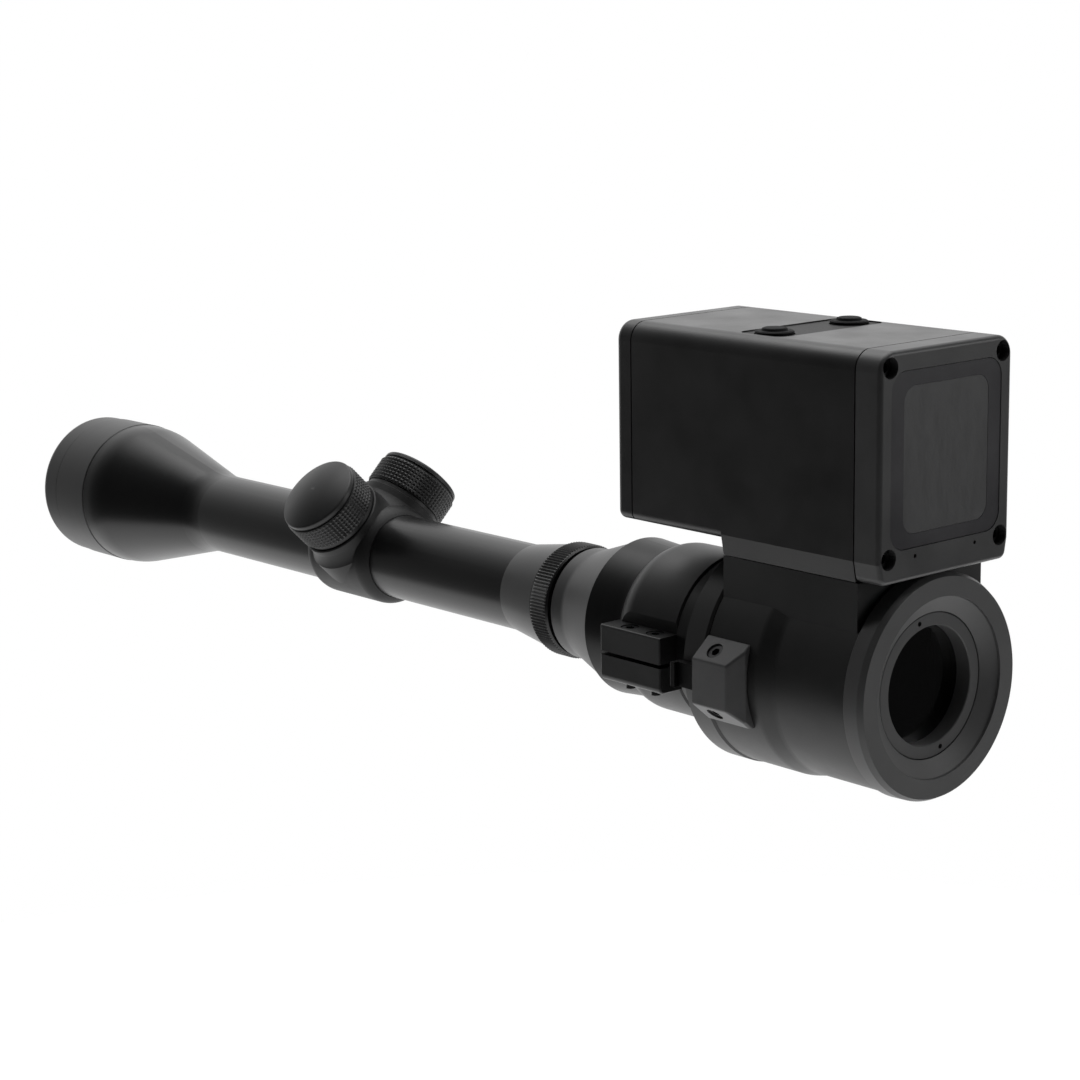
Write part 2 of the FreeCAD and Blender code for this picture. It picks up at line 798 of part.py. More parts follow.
clamp_body = spun(
    "ClampBody",
    [
        (0, 18.0),
        (0, 21.15),
        (5.4, clamp_radius, -8.8),
        (clamp_length - 0.5, clamp_radius),
        (clamp_length, clamp_radius - 0.5),
        (clamp_length, 18.0),
    ],
)
place(clamp_body, clamp_front)
clamp_block = block(
    "ClampBlock",
    clamp_length,
    clamp_near - 16.0,
    clamp_top - clamp_bottom,
    clamp_front,
    -clamp_near,
    clamp_bottom,
)
doc.recompute()
clamp_block = softened(
    "ClampBlockSoft",
    clamp_block,
    lambda e: abs(middle(e).y + 28.0) < 0.01 and abs(middle(e).z + 10.3) < 0.01,
    1.6,
)
clamp_block = softened(
    "ClampBlockEdges",
    clamp_block,
    lambda e: abs(middle(e).y + 28.0) < 0.01 and abs(middle(e).z + 10.3) > 1.0,
    0.5,
)
clamp = joined("ClampJoined", [clamp_body, clamp_block])
CLAMP_SCREWS = (143.6, 153.2)
tools = [
    rod("ClampBore", grip_radius + 0.04, 60.0, 110.0, turn=ALONG_X),
    block("ClampSlit", 60.0, 14.0, 1.0, 110.0, -31.0, clamp_mid - 0.5),
    block("ClampFlat", 24.0, 9.6, 8.0, clamp_front - 0.6, -31.2, clamp_top),
]
for i, x in enumerate(CLAMP_SCREWS):
    tools.append(rod(f"ClampHole{i}", clamp_screw + 0.05, 40.0, x, screw_y, -20.0))
    tools.append(rod(f"ClampSeat{i}", 2.5, 10.0, x, screw_y, clamp_top - 2.4))
clamp = without("ClampCut", clamp, tools)
done(clamp, "clamp_ring")

STRAIGHT_UP = Rotation()
BACKWARDS = Rotation(Vector(0, 1, 0), 90)  # heads face +X
FORWARDS = Rotation(Vector(0, 1, 0), -90)  # heads face -X


def screws(label, spots, shank, length, head, head_length, socket):
    """Hexagon-socket screws. Each spot is (x, y, z, turn) of the middle of the head's top face."""
    pieces = []
    for i, (x, y, z, turn) in enumerate(spots):
        inward = turn.multVec(Vector(0, 0, -1))

        def part_of(thing, depth):
            start = (x, y, z)
            step = (inward.x * depth, inward.y * depth, inward.z * depth)
            place(thing, start[0] + step[0], start[1] + step[1], start[2] + step[2], turn)
            return thing

        head_bar = part_of(rod(f"{label}_head{i}", head, head_length), head_length)
        shank_bar = part_of(rod(f"{label}_shank{i}", shank, length), length)
        whole = joined(f"{label}_solid{i}", [head_bar, shank_bar])
        key = doc.addObject("Part::Prism", f"{label}_key{i}")
        key.Polygon = 6
        bind(key, "Circumradius", socket)
        bind(key, "Height", head_length * 0.6)
        part_of(key, head_length * 0.6)
        pieces.append(without(f"{label}_screw{i}", whole, [key]))
    if len(pieces) == 1:
        return done(pieces[0], label)
    return done(grouped(f"{label}_group", pieces), label)


clamp_spots = [(x, screw_y, clamp_top - 0.2, STRAIGHT_UP) for x in CLAMP_SCREWS]
screws("clamp_screws", clamp_spots, clamp_screw, 16.4, 2.25, 2.0, 1.3)

sleeve = spun(
    "AdapterSleeve",
    [
        (0, 17.5),
        (0, grip_radius),
        (7.8, grip_radius),
        (7.8, 22.6),
        (17.3, 22.6),
        (17.3, 20.5),
        (19.6, 20.5),
        (19.6, 19.3),
        (22.6, 19.3),
        (22.6, 20.5),
        (37.2, 20.5),
        (37.2, 17.5),
    ],
)
place(sleeve, bell_rear + 1.0)
done(sleeve, "adapter_sleeve")

# ---------------------------------------------------------------- camera barrel, flange, latch


barrel_length = barrel_rear - barrel_front
barrel = spun(
    "BarrelTube",
    [
        (0, swivel_bore),
        (0, shoulder_radius - 0.4),
        (0.4, shoulder_radius),
        (17.8, shoulder_radius),
        (23.0, barrel_radius),
        (barrel_length, barrel_radius),
        (barrel_length, chamber),
        (12.0, chamber),
        (12.0, swivel_bore),
    ],
)
round_rings(barrel, [(17.8, shoulder_radius, 7.0)])
round_rings(barrel, [(23.0, barrel_radius, 7.0)])
place(barrel, barrel_front)
plinth = block("Plinth", 45.3, plinth_half * 2.0, riser_bottom - 0.25 - 15.0, 176.8, -plinth_half, 15.0)
barrel = joined("BarrelPlinth", [barrel, plinth])
LATCH_SLOPE = 40.0
TOP_SLOPE = Rotation(Vector(1, 0, 0), LATCH_SLOPE)
LOW_SLOPE = Rotation(Vector(1, 0, 0), 180.0 - LATCH_SLOPE)
LATCH_SPOTS = (
    (latch_screw_x, -30.9, latch_mid + 7.9, TOP_SLOPE),
    (latch_screw_x, -30.9, latch_mid - 7.9, LOW_SLOPE),
)
PLINTH_SPOTS = [(x, y) for x in (182.0, 218.6) for y in (-12.0, 12.0)]
FLANGE_SPOTS = [(25.0 * math.cos(a), 25.0 * math.sin(a)) for a in (math.pi * (k + 0.5) / 2 for k in range(4))]
tools = [
    rod("ChamberBore", chamber, barrel_length - 12.0 + 1.0, barrel_front + 12.0, turn=ALONG_X),
    rod("SwivelBore", swivel_bore, 14.0, barrel_front - 1.0, turn=ALONG_X),
    block("LightWay", 20.0, 20.0, 14.0, 195.0, -10.0, 18.0),
    block("CrownTrim", 50.0, plinth_half * 2.0, 3.0, 176.0, -plinth_half, riser_bottom - 0.25),
]
for i, (x, y) in enumerate(PLINTH_SPOTS):
    tools.append(rod(f"PlinthHole{i}", 1.3, 5.2, x, y, 24.0))
for i, (y, z) in enumerate(FLANGE_SPOTS):
    tools.append(rod(f"FlangeThread{i}", 1.3, 6.0, barrel_front - 0.5, y, z, ALONG_X))
for i, (x, y, z, turn) in enumerate(LATCH_SPOTS):
    deep = turn.multVec(Vector(0, 0, -8.0))
    tools.append(rod(f"LatchThread{i}", 1.15, 8.0, x, y + deep.y, z + deep.z, turn))
    tools.append(rod(f"LatchSink{i}", 2.3, 6.0, x, y + deep.y * 0.275, z + deep.z * 0.275, turn))
barrel = without("BarrelCut", barrel, tools)
done(barrel, "camera_barrel")

flange_length = barrel_front - 0.1 - flange_front
flange = spun(
    "Flange",
    [
        (0, swivel_bore),
        (0, flange_radius - 0.7),
        (0.6, flange_radius),
        (flange_length - 0.6, flange_radius),
        (flange_length, flange_radius - 0.6),
        (flange_length, swivel_bore),
    ],
)
place(flange, flange_front)
tools = [block("HookWindow", 4.9, 14.0, 3.4, 169.6, -32.0, latch_mid - 1.7)]
for i, (y, z) in enumerate(FLANGE_SPOTS):
    tools.append(rod(f"FlangeHole{i}", 1.35, 20.0, flange_front - 5.0, y, z, ALONG_X))
    tools.append(rod(f"FlangeSeat{i}", 2.35, 10.0, flange_front - 7.0, y, z, ALONG_X))
flange = without("FlangeCut", flange, tools)
done(flange, "front_flange")
flange_spots = [(flange_front + 0.7, y, z, FORWARDS) for y, z in FLANGE_SPOTS]
screws("flange_screws", flange_spots, 1.25, 11.5, 2.2, 2.1, 1.25)

latch_shape = extruded(
    "LatchSection",
    "YZ_Plane",
    [
        (-latch_near, -5.9),
        (-28.2, -10.8),
        (-22.0, -10.8),
        (-22.0, 10.8),
        (-28.2, 10.8),
        (-latch_near, 5.9),
    ],
    14.7,
)
place(latch_shape, latch_front, 0, latch_mid)
latch_plan = extruded(
    "LatchPlan",
    "XY_Plane",
    [(0, -20.0), (0, -latch_near), (11.9, -latch_near), (14.7, -29.8), (14.7, -20.0)],
    30.0,
    centred=True,
)
place(latch_plan, latch_front, 0, latch_mid)
latch = doc.addObject("Part::MultiCommon", "LatchLump")
latch.Shapes = [latch_shape, latch_plan]
doc.recompute()


def is_latch_outer(edge):
    """The edges round the near face of the latch block."""
    return middle(edge).y < -28.6 and middle(edge).x > 176.9


latch = softened("LatchSoft", latch, is_latch_outer, 0.8)
tools = [
    rod("LatchSaddle", shoulder_radius + 0.03, 40.0, 165.0, turn=ALONG_X),
    block("LatchWell", 12.5, 7.0, 7.0, 176.2, -33.0, latch_mid - 3.5),
    rod("LatchPinHole", 1.02, 14.4, pin_x, pin_y, latch_mid - 7.2),
]
for i, (x, y, z, turn) in enumerate(LATCH_SPOTS):
    outward = turn.multVec(Vector(0, 0, 1))
    tools.append(rod(f"LatchSeat{i}", 2.3, 8.0, x, y - outward.y * 2.2, z - outward.z * 2.2, turn))
    tools.append(rod(f"LatchHole{i}", 1.2, 14.0, x, y - outward.y * 9.0, z - outward.z * 9.0, turn))
latch = without("LatchCut", latch, tools)
done(latch, "latch_block")
screws("latch_screws", LATCH_SPOTS, 1.1, 7.6, 2.1, 2.0, 1.2)

arm = block("LeverArm", 17.0, 2.1, 6.4, 167.6, -32.0, latch_mid - 3.2)
root = block("LeverRoot", 2.4, 2.1, 3.2, 184.5, -32.0, latch_mid - 3.2)
boss = rod("LeverBoss", 1.5, 3.2, pin_x, pin_y, latch_mid - 3.2)
rib = block("LeverRib", 1.8, 3.3, 6.4, 167.6, -33.2, latch_mid - 3.2)
hook = block("LeverHook", 1.6, 10.6, 2.6, 171.6, -30.15, latch_mid - 1.3)
lever = joined("LeverJoined", [arm, root, boss, rib, hook])
lever = softened(
    "LeverSoft",
    lever,
    lambda e: abs(middle(e).x - 167.6) < 0.01 and middle(e).y < -29.0 and abs(middle(e).y + 29.9) > 0.01,
    0.5,
)
lever = without("LeverDrilled", lever, [rod("LeverHole", 1.03, 8.0, pin_x, pin_y, latch_mid - 4.0)])
done(lever, "latch_lever")
done(rod("LatchPin", 1.0, 14.2, pin_x, pin_y, latch_mid - 7.1), "latch_pin")

coil = doc.addObject("Part::Helix", "LatchCoil")
bind(coil, "Pitch", 0.62)
bind(coil, "Height", 2.3)
bind(coil, "Radius", 1.42)
place(coil, pin_x, pin_y, latch_mid + 0.5)
wire = doc.addObject("Part::Circle", "LatchWire")
bind(wire, "Radius", 0.22)
place(wire, pin_x + 1.42, pin_y, latch_mid + 0.5, Rotation(Vector(1, 0, 0), 90))
doc.recompute()
spring = doc.addObject("Part::Sweep", "LatchSpring")
spring.Sections = [wire]
spring.Spine = (coil, [])
spring.Solid = True
spring.Frenet = True
doc.recompute()
done(spring, "latch_spring")

# ---------------------------------------------------------------- rear collar, eye window, prisms

collar = spun(
    "RearCollar",
    [
        (0, 22.4),
        (0, 24.4),
        (6.9, 24.4),
        (6.9, 28.55),
        (7.2, 28.85),
        (11.3, 28.7),
        (12.8, 27.9),
        (12.8, 23.0),
        (12.1, 22.85),
        (9.7, 18.68),
        (3.4, 18.68),
        (3.4, 16.2),
        (2.0, 16.2),
        (2.0, 22.4),
    ],
)
place(collar, collar_front)
done(collar, "rear_collar")
window = spun("EyeWindow", [(0, 0), (0, 18.3), (0.2, 18.5), (1.65, 18.5), (1.65, 0)])
place(window, collar_front + 3.45)
done(window, "eye_window")
window_ring = spun(
    "WindowRing",
    [(0, 15.2), (0, 18.6), (4.1, 18.6), (4.4, 18.3), (4.4, 15.4), (4.2, 15.2)],
)
place(window_ring, collar_front + 5.2)
SPANNER = ((-4.2, 16.35), (4.2, -16.35))
spanner_holes = [rod(f"Spanner{i}", 0.65, 3.0, 224.0, y, z, ALONG_X) for i, (y, z) in enumerate(SPANNER)]
window_ring = without("WindowRingCut", window_ring, spanner_holes)
done(window_ring, "window_ring")

front_prism = extruded(
    "FrontPrism", "XZ_Plane", [(0, -cube + 0.05), (cube * 2.0 - 0.05, cube), (0, cube)], cube * 2.0, centred=True
)
place(front_prism, cube_x)
done(front_prism, "front_prism")
rear_prism = extruded(
    "RearPrism", "XZ_Plane", [(0.05, -cube), (cube * 2.0, -cube), (cube * 2.0, cube - 0.05)], cube * 2.0, centred=True
)
place(rear_prism, cube_x)
done(rear_prism, "rear_prism")
holder = extruded(
    "PrismHolder",
    "YZ_Plane",
    [(-12.6, 11.0), (-12.6, -12.7), (12.6, -12.7), (12.6, 11.0), (11.05, 11.0), (11.05, -11.05),
     (-11.05, -11.05), (-11.05, 11.0)],
    cube * 2.0,
)
place(holder, cube_x)
holder = joined("HolderJoined", [holder, rod("HolderPost", 4.0, 11.7, 204.5, 0.0, -24.1)])
done(holder, "prism_holder")

camera_lens = spun(
    "CameraLens",
    [(0, 0), (0, 6.4), (0.6, 7.9), (9.0, 7.9), (9.0, 6.6), (19.5, 6.6), (20.0, 6.1), (20.0, 0)],
)
place(camera_lens, 204.5, 0, 13.0, FORWARDS)
done(camera_lens, "camera_lens")
done(block("SensorBoard", 21.0, 26.0, 1.4, 194.0, -13.0, 35.6), "sensor_board")

# ---------------------------------------------------------------- box: body, covers, gaskets



def box_section(inset):
    """The four corners of the box section, pulled in by the inset."""
    return [
        (-box_half + inset, box_bottom + inset),
        (box_half - inset, box_bottom + inset),
        (box_half - inset, box_top - inset),
        (-box_half + inset, box_top - inset),
    ]


def is_long_edge(edge, high):
    """A straight edge along X at the top or the bottom of a section."""
    if not isinstance(edge.Curve, Part.Line) or abs(edge.Curve.Direction.x) < 0.99:
        return False
    return (middle(edge).z > 70.0) if high else (middle(edge).z < 40.0)


def box_solid(name, inset, length, top_round, bottom_round):
    solid = extruded(name, "YZ_Plane", box_section(inset), length)
    round_edges(solid, lambda e: is_long_edge(e, True), top_round)
    round_edges(solid, lambda e: is_long_edge(e, False), bottom_round)
    return solid


body_length = body_rear - body_front
shell = box_solid("HousingShell", 0.0, body_length, edge_round, low_round)
place(shell, body_front)
riser = extruded(
    "Riser",
    "YZ_Plane",
    [
        (-plinth_half - 0.1, riser_bottom),
        (plinth_half + 0.1, riser_bottom),
        (box_half, box_bottom + 1.2),
        (box_half, box_bottom + 3.0),
        (-box_half, box_bottom + 3.0),
        (-box_half, box_bottom + 1.2),
    ],
    body_rear - 177.0,
)
place(riser, 177.0)
housing = joined("HousingSolid", [shell, riser])
cavity = box_solid("HousingCavity", wall, body_length + 2.0, edge_round - wall, 1.0)
place(cavity, body_front - 1.0)
housing = without("HousingHollow", housing, [cavity])
FRONT_SPOTS = [(y, z) for y in (-20.5, 20.5) for z in (81.4, 37.4)]
REAR_SPOTS = [(y, z) for y in (-20.5, 20.5) for z in (81.4, 35.5)]
posts = [rod(f"Post{i}", 2.9, 30.0, body_front, y, z, ALONG_X) for i, (y, z) in enumerate(FRONT_SPOTS)]
for i, (y, z) in enumerate(REAR_SPOTS):
    posts.append(rod(f"RearPost{i}", 2.9, 12.0, body_rear - 12.0, y, z, ALONG_X))
housing = joined("HousingPosts", [housing, *posts])



def strip_solid(name, grow, thickness, z):
    """The rounded strip outline, grown all round, as a slab standing on z."""
    solid = extruded(
        name,
        "XY_Plane",
        [
            (-strip_half - grow, -strip_reach - grow),
            (strip_half + grow, -strip_reach - grow),
            (strip_half + grow, strip_reach + grow),
            (-strip_half - grow, strip_reach + grow),
        ],
        thickness,
    )
    round_edges(solid, lambda e: abs(e.tangentAt(e.FirstParameter).z) > 0.99, 3.0 + grow)
    place(solid, strip_x, 0, z)
    return solid


BUTTONS = (("left_button", -button_y), ("right_button", button_y))
tools = [
    strip_solid("StripRecess", 0.1, 3.0, box_top - 0.9),
    block("LightPort", 20.0, 18.0, 9.0, 195.0, -9.0, 28.0),
]
for name, y in BUTTONS:
    tools.append(rod(f"Seat_{name}", button_radius + 0.4, 4.0, strip_x, y, box_top - 1.4))
    tools.append(rod(f"Stem_{name}", 3.3, 9.0, strip_x, y, box_top - 5.0))
for i, (x, y) in enumerate(PLINTH_SPOTS):
    tools.append(rod(f"FloorHole{i}", 1.35, 12.0, x, y, 26.0))
for i, (y, z) in enumerate(FRONT_SPOTS):
    tools.append(rod(f"FrontThread{i}", 1.3, 7.0, body_front - 1.0, y, z, ALONG_X))
for i, (y, z) in enumerate(REAR_SPOTS):
    tools.append(rod(f"RearThread{i}", 1.3, 7.0, body_rear - 6.0, y, z, ALONG_X))
housing = without("HousingCut", housing, tools)
done(housing, "housing_body")

plinth_spots = [(x, y, box_bottom + wall + 2.1, STRAIGHT_UP) for x, y in PLINTH_SPOTS]
screws("plinth_screws", plinth_spots, 1.25, 12.6, 2.4, 2.1, 1.3)

strip = strip_solid("ButtonStrip", 0.0, 0.5, box_top - 0.85)
strip_holes = [rod(f"StripHole_{n}", button_radius + 0.2, 3.0, strip_x, y, box_top - 2.0) for n, y in BUTTONS]
strip = without("StripCut", strip, strip_holes)
done(strip, "button_strip")
for name, y in BUTTONS:
    button = spun(
        f"Button_{name}",
        [
            (0, 0),
            (0, 2.6),
            (0.4, 3.0),
            (3.9, 3.0),
            (3.9, button_radius - 0.2),
            (4.1, button_radius),
            (4.5, button_radius),
            (4.75, button_radius - 0.4),
            (4.8, 3.35),
            (5.35, 3.1),
            (5.5, 2.7),
            (5.6, 0),
        ],
    )
    place(button, strip_x, y, box_top - 4.2, Rotation(Vector(0, 1, 0), -90))
    done(button, name)

front_cover = box_solid("FrontCover", 0.0, body_front - 0.4 - 138.6, edge_round, low_round)
round_edges(front_cover, lambda e: abs(middle(e).x) < 0.01, 1.9)
place(front_cover, 138.6)
tools = []
for i, (y, z) in enumerate(FRONT_SPOTS):
    tools.append(rod(f"CoverHole{i}", 1.35, 20.0, 130.0, y, z, ALONG_X))
    tools.append(rod(f"CoverSeat{i}", 2.5, 11.4, 130.0, y, z, ALONG_X))
front_cover = without("FrontCoverCut", front_cover, tools)
done(front_cover, "front_cover")
front_spots = [(139.2, y, z, FORWARDS) for y, z in FRONT_SPOTS]
screws("front_screws", front_spots, 1.25, 10.6, 2.35, 2.1, 1.3)


def gasket(label, x, thickness, outer_inset, spots):
    """A thin frame between the body and a cover, pierced for the cover's screws."""
    outer = box_solid(f"{label}_outer", outer_inset, thickness, edge_round - outer_inset, low_round - outer_inset)
    place(outer, x)
    inner = box_solid(f"{label}_inner", wall, thickness * 3.0, edge_round - wall, 1.0)
    place(inner, x - thickness)
    ears = [rod(f"{label}_ear{i}", 2.9, thickness, x, y, z, ALONG_X) for i, (y, z) in enumerate(spots)]
    holes = [rod(f"{label}_hole{i}", 1.35, 3.0, x - 1.0, y, z, ALONG_X) for i, (y, z) in enumerate(spots)]
    frame = without(f"{label}_frame", outer, [inner])
    frame = joined(f"{label}_eared", [frame, *ears])
    return without(f"{label}_pierced", frame, holes)


front_gasket = gasket("FrontGasket", body_front - 0.4, 0.4, 0.35, FRONT_SPOTS)
rear_gasket = gasket("RearGasket", body_rear, 0.4, 0.35, REAR_SPOTS)
done(grouped("BoxGaskets", [front_gasket, rear_gasket]), "box_gaskets")

bezel = extruded(
    "Bezel",
    "YZ_Plane",
    [
        (-plinth_half - 0.1, riser_bottom),
        (plinth_half + 0.1, riser_bottom),
        (box_half, box_bottom + 1.2),
        (box_half, box_top),
        (-box_half, box_top),
        (-box_half, box_bottom + 1.2),
    ],
    bezel_rear - bezel_front,
)
round_edges(bezel, lambda e: is_long_edge(e, True), edge_round)
round_edges(bezel, lambda e: is_long_edge(e, False) and middle(e).z < 30.0, 2.2)
place(bezel, bezel_front)
bezel = softened("BezelSoft", bezel, lambda e: abs(middle(e).x - 229.7) < 0.01, 1.2)


def plate(name, half, low, high, corner, thickness, x):
    """A rounded rectangle standing across the axis."""
    solid = extruded(name, "YZ_Plane", [(-half, low), (half, low), (half, high), (-half, high)], thickness)
    round_edges(solid, lambda e: abs(e.tangentAt(e.FirstParameter).x) > 0.99, corner)
    place(solid, x)
    return solid


tools = [
    plate("FrameRecess", 20.1, 37.1, 80.3, 5.0, 5.0, bezel_rear - 1.5),
    plate("PanelWay", 17.0, 38.7, 78.7, 3.0, 20.0, bezel_front - 5.0),
]
for i, (y, z) in enumerate(REAR_SPOTS):
    tools.append(rod(f"BezelHole{i}", 1.35, 20.0, bezel_front - 5.0, y, z, ALONG_X))
    tools.append(rod(f"BezelSeat{i}", 2.6, 8.0, bezel_rear - 4.2, y, z, ALONG_X))
for i, y in enumerate((-11.0, 11.0)):
    tools.append(rod(f"SoundHole{i}", 0.5, 4.0, bezel_rear - 2.0, y, 35.1, ALONG_X))
bezel = without("BezelCut", bezel, tools)
done(bezel, "rear_bezel")
rear_spots = [(bezel_rear - 2.1, y, z, BACKWARDS) for y, z in REAR_SPOTS]
screws("rear_screws", rear_spots, 1.25, 9.6, 2.4, 2.0, 1.4)

frame = plate("DisplayFrame", 19.95, 37.25, 80.15, 4.85, 1.3, bezel_rear - 1.45)
opening = plate("DisplayOpening", panel_half, panel_low, panel_high, 4.0, 5.0, bezel_rear - 3.0)
frame = without("DisplayFrameCut", frame, [opening])
done(frame, "display_frame")
pane = plate(
    "DisplayWindow", panel_half - 0.06, panel_low + 0.06, panel_high - 0.06, 3.94, 1.25, bezel_rear - 1.45
)
done(pane, "display_window")
done(plate("DisplayPanel", 16.5, 39.5, 77.5, 1.0, 3.4, bezel_rear - 5.0), "display_panel")
done(block("MainBoard", 1.6, 38.0, 38.0, 215.6, -19.0, 40.0), "main_board")
battery = block("BatteryCell", 55.0, 30.0, 28.0, 150.0, -15.0, 44.0)
doc.recompute()
battery = softened("Battery", battery, lambda e: abs(e.tangentAt(e.FirstParameter).x) > 0.99, 2.5)
done(battery, "battery")

# ---------------------------------------------------------------- check every piece and write it

doc.recompute()
for thing in doc.Objects:
    if {"Invalid", "Error"} & set(thing.State):
        raise RuntimeError(f"{thing.Name} ({thing.Label}) did not build: {thing.State}")
labels = [thing.Label for thing in finished]
if len(set(labels)) != len(labels):
    raise RuntimeError("two pieces share a name")
for thing in finished:
    shape = thing.Shape
    if shape.isNull() or not shape.isValid() or shape.Volume <= 0:
        raise RuntimeError(f"{thing.Label} has no valid solid")
    shape.exportStep(f"parts/{thing.Label}.step")
print(len(finished), "sub-parts written")
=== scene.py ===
import json
import math

import bpy
from mathutils import Matrix, Vector


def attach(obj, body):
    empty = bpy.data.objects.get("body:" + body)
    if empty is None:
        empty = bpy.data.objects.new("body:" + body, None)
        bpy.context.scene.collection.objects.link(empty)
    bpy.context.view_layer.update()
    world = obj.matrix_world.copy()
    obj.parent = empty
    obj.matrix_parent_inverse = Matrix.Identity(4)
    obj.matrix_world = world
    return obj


# Looks for the telescopic sight with its clip-on camera display. Everything is in metres, in the CAD frame:
# +X runs along the optical axis towards the eye, +Z is up with the camera box upright.

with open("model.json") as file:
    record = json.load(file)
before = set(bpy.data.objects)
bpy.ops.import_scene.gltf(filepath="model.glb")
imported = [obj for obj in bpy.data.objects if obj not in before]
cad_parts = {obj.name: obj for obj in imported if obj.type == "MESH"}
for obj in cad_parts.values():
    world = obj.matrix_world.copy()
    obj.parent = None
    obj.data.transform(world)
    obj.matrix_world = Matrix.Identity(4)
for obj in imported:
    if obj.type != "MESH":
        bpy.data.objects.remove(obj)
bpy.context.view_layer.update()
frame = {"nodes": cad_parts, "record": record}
MM = 0.001


# ---------------------------------------------------------------- materials

PATTERN_LOW = 0.3  # noise values mostly lie between these two
PATTERN_HIGH = 0.7

class Look:
    """A material being built: its nodes, its links and its main shader."""

    def __init__(self, name):
        self.material = bpy.data.materials.new(name)
        self.material.use_nodes = True
        self.tree = self.material.node_tree
        self.shader = self.tree.nodes["Principled BSDF"]
        self.place = self.tree.nodes.new("ShaderNodeTexCoord").outputs["Object"]

    def link(self, source, target):
        self.tree.links.new(source, target)

    def node(self, kind):
        return self.tree.nodes.new(kind)

    def stretched(self, scale):
        """Object coordinates multiplied along each axis."""
        mapping = self.node("ShaderNodeMapping")
        mapping.inputs["Scale"].default_value = scale
        self.link(self.place, mapping.inputs["Vector"])
        return mapping.outputs["Vector"]

    def noise(self, scale, detail=3.0, roughness=0.55):
        """Noise of a given fineness; the scale is one number or one for each axis, in cells per metre."""
        noise = self.node("ShaderNodeTexNoise")
        noise.inputs["Detail"].default_value = detail
        noise.inputs["Roughness"].default_value = roughness
        noise.inputs["Scale"].default_value = 1.0
        each = scale if isinstance(scale, tuple) else (scale, scale, scale)
        self.link(self.stretched(each), noise.inputs["Vector"])
        return noise.outputs["Fac"]

    def spread(self, source, low, high):
        """Turn a 0 to 1 pattern into numbers between low and high."""
        fit = self.node("ShaderNodeMapRange")
        fit.inputs["From Min"].default_value = PATTERN_LOW
        fit.inputs["From Max"].default_value = PATTERN_HIGH
        fit.inputs["To Min"].default_value = low
        fit.inputs["To Max"].default_value = high
        self.link(source, fit.inputs["Value"])
        return fit.outputs["Result"]

    def colours(self, source, dark, light):
        """Turn a 0 to 1 pattern into colours between two ends."""
        ramp = self.node("ShaderNodeValToRGB")
        ramp.color_ramp.elements[0].position = PATTERN_LOW
        ramp.color_ramp.elements[0].color = (*dark, 1.0)
        ramp.color_ramp.elements[1].position = PATTERN_HIGH
        ramp.color_ramp.elements[1].color = (*light, 1.0)
        self.link(source, ramp.inputs["Fac"])
        self.link(ramp.outputs["Color"], self.shader.inputs["Base Color"])

    def bumps(self, patterns):
        """Stack relief patterns, each (source, height in metres, strength)."""
        normal = None
        for source, height, strength in patterns:
            bump = self.node("ShaderNodeBump")
            bump.inputs["Distance"].default_value = height
            bump.inputs["Strength"].default_value = strength
            self.link(source, bump.inputs["Height"])
            if normal is not None:
                self.link(normal, bump.inputs["Normal"])
            normal = bump.outputs["Normal"]
        self.link(normal, self.shader.inputs["Normal"])


def scaled(colour, factor):
    """A darker or lighter shade of a colour."""
    return tuple(channel * factor for channel in colour)


def anodised(name, colour, roughness, grain=2600.0, relief=0.02, spread=0.25, metallic=0.0, shine=0.5):
    """Anodised, bead-blasted metal: fine grain, faint handling marks, uneven gloss."""
    look = Look(name)
    fine = look.noise(grain, 4.0)
    cloud = look.noise(60.0, 5.0, 0.6)
    look.colours(cloud, scaled(colour, 1.0 - spread), scaled(colour, 1.0 + spread))
    look.link(look.spread(cloud, roughness - 0.04, roughness + 0.05), look.shader.inputs["Roughness"])
    look.bumps([(cloud, 0.03 * MM, 0.10), (fine, relief * MM, 0.35)])
    look.shader.inputs["Metallic"].default_value = metallic
    look.shader.inputs["Specular IOR Level"].default_value = shine
    return look.material


def turned(name, colour, roughness, spread=0.2, metallic=0.0, relief=0.006, shine=0.5):
    """Metal turned on a lathe and anodised: fine rings round the optical axis under a soft sheen."""
    look = Look(name)
    rings = look.noise((7500.0, 12.0, 12.0), 2.0)
    grain = look.noise(3200.0, 3.0)
    cloud = look.noise(45.0, 5.0, 0.6)
    look.colours(cloud, scaled(colour, 1.0 - spread), scaled(colour, 1.0 + spread))
    look.link(look.spread(rings, roughness - 0.02, roughness + 0.03), look.shader.inputs["Roughness"])
    look.bumps([(rings, relief * MM, 0.10), (grain, 0.012 * MM, 0.2)])
    look.shader.inputs["Metallic"].default_value = metallic
    look.shader.inputs["Specular IOR Level"].default_value = shine
    return look.material


def clear(name, colour, roughness=0.02, coat=0.6):
    """Coated glass with a trace of wiping marks."""
    look = Look(name)
    wipes = look.noise((90.0, 400.0, 160.0), 5.0, 0.65)
    look.colours(wipes, scaled(colour, 0.97), colour)
    look.link(look.spread(wipes, roughness, roughness + 0.04), look.shader.inputs["Roughness"])
    look.bumps([(wipes, 0.002 * MM, 0.05)])
    look.shader.inputs["Transmission Weight"].default_value = 1.0
    look.shader.inputs["IOR"].default_value = 1.5
    look.shader.inputs["Coat Weight"].default_value = coat
    look.shader.inputs["Coat Tint"].default_value = (0.75, 0.85, 1.0, 1.0)
    return look.material


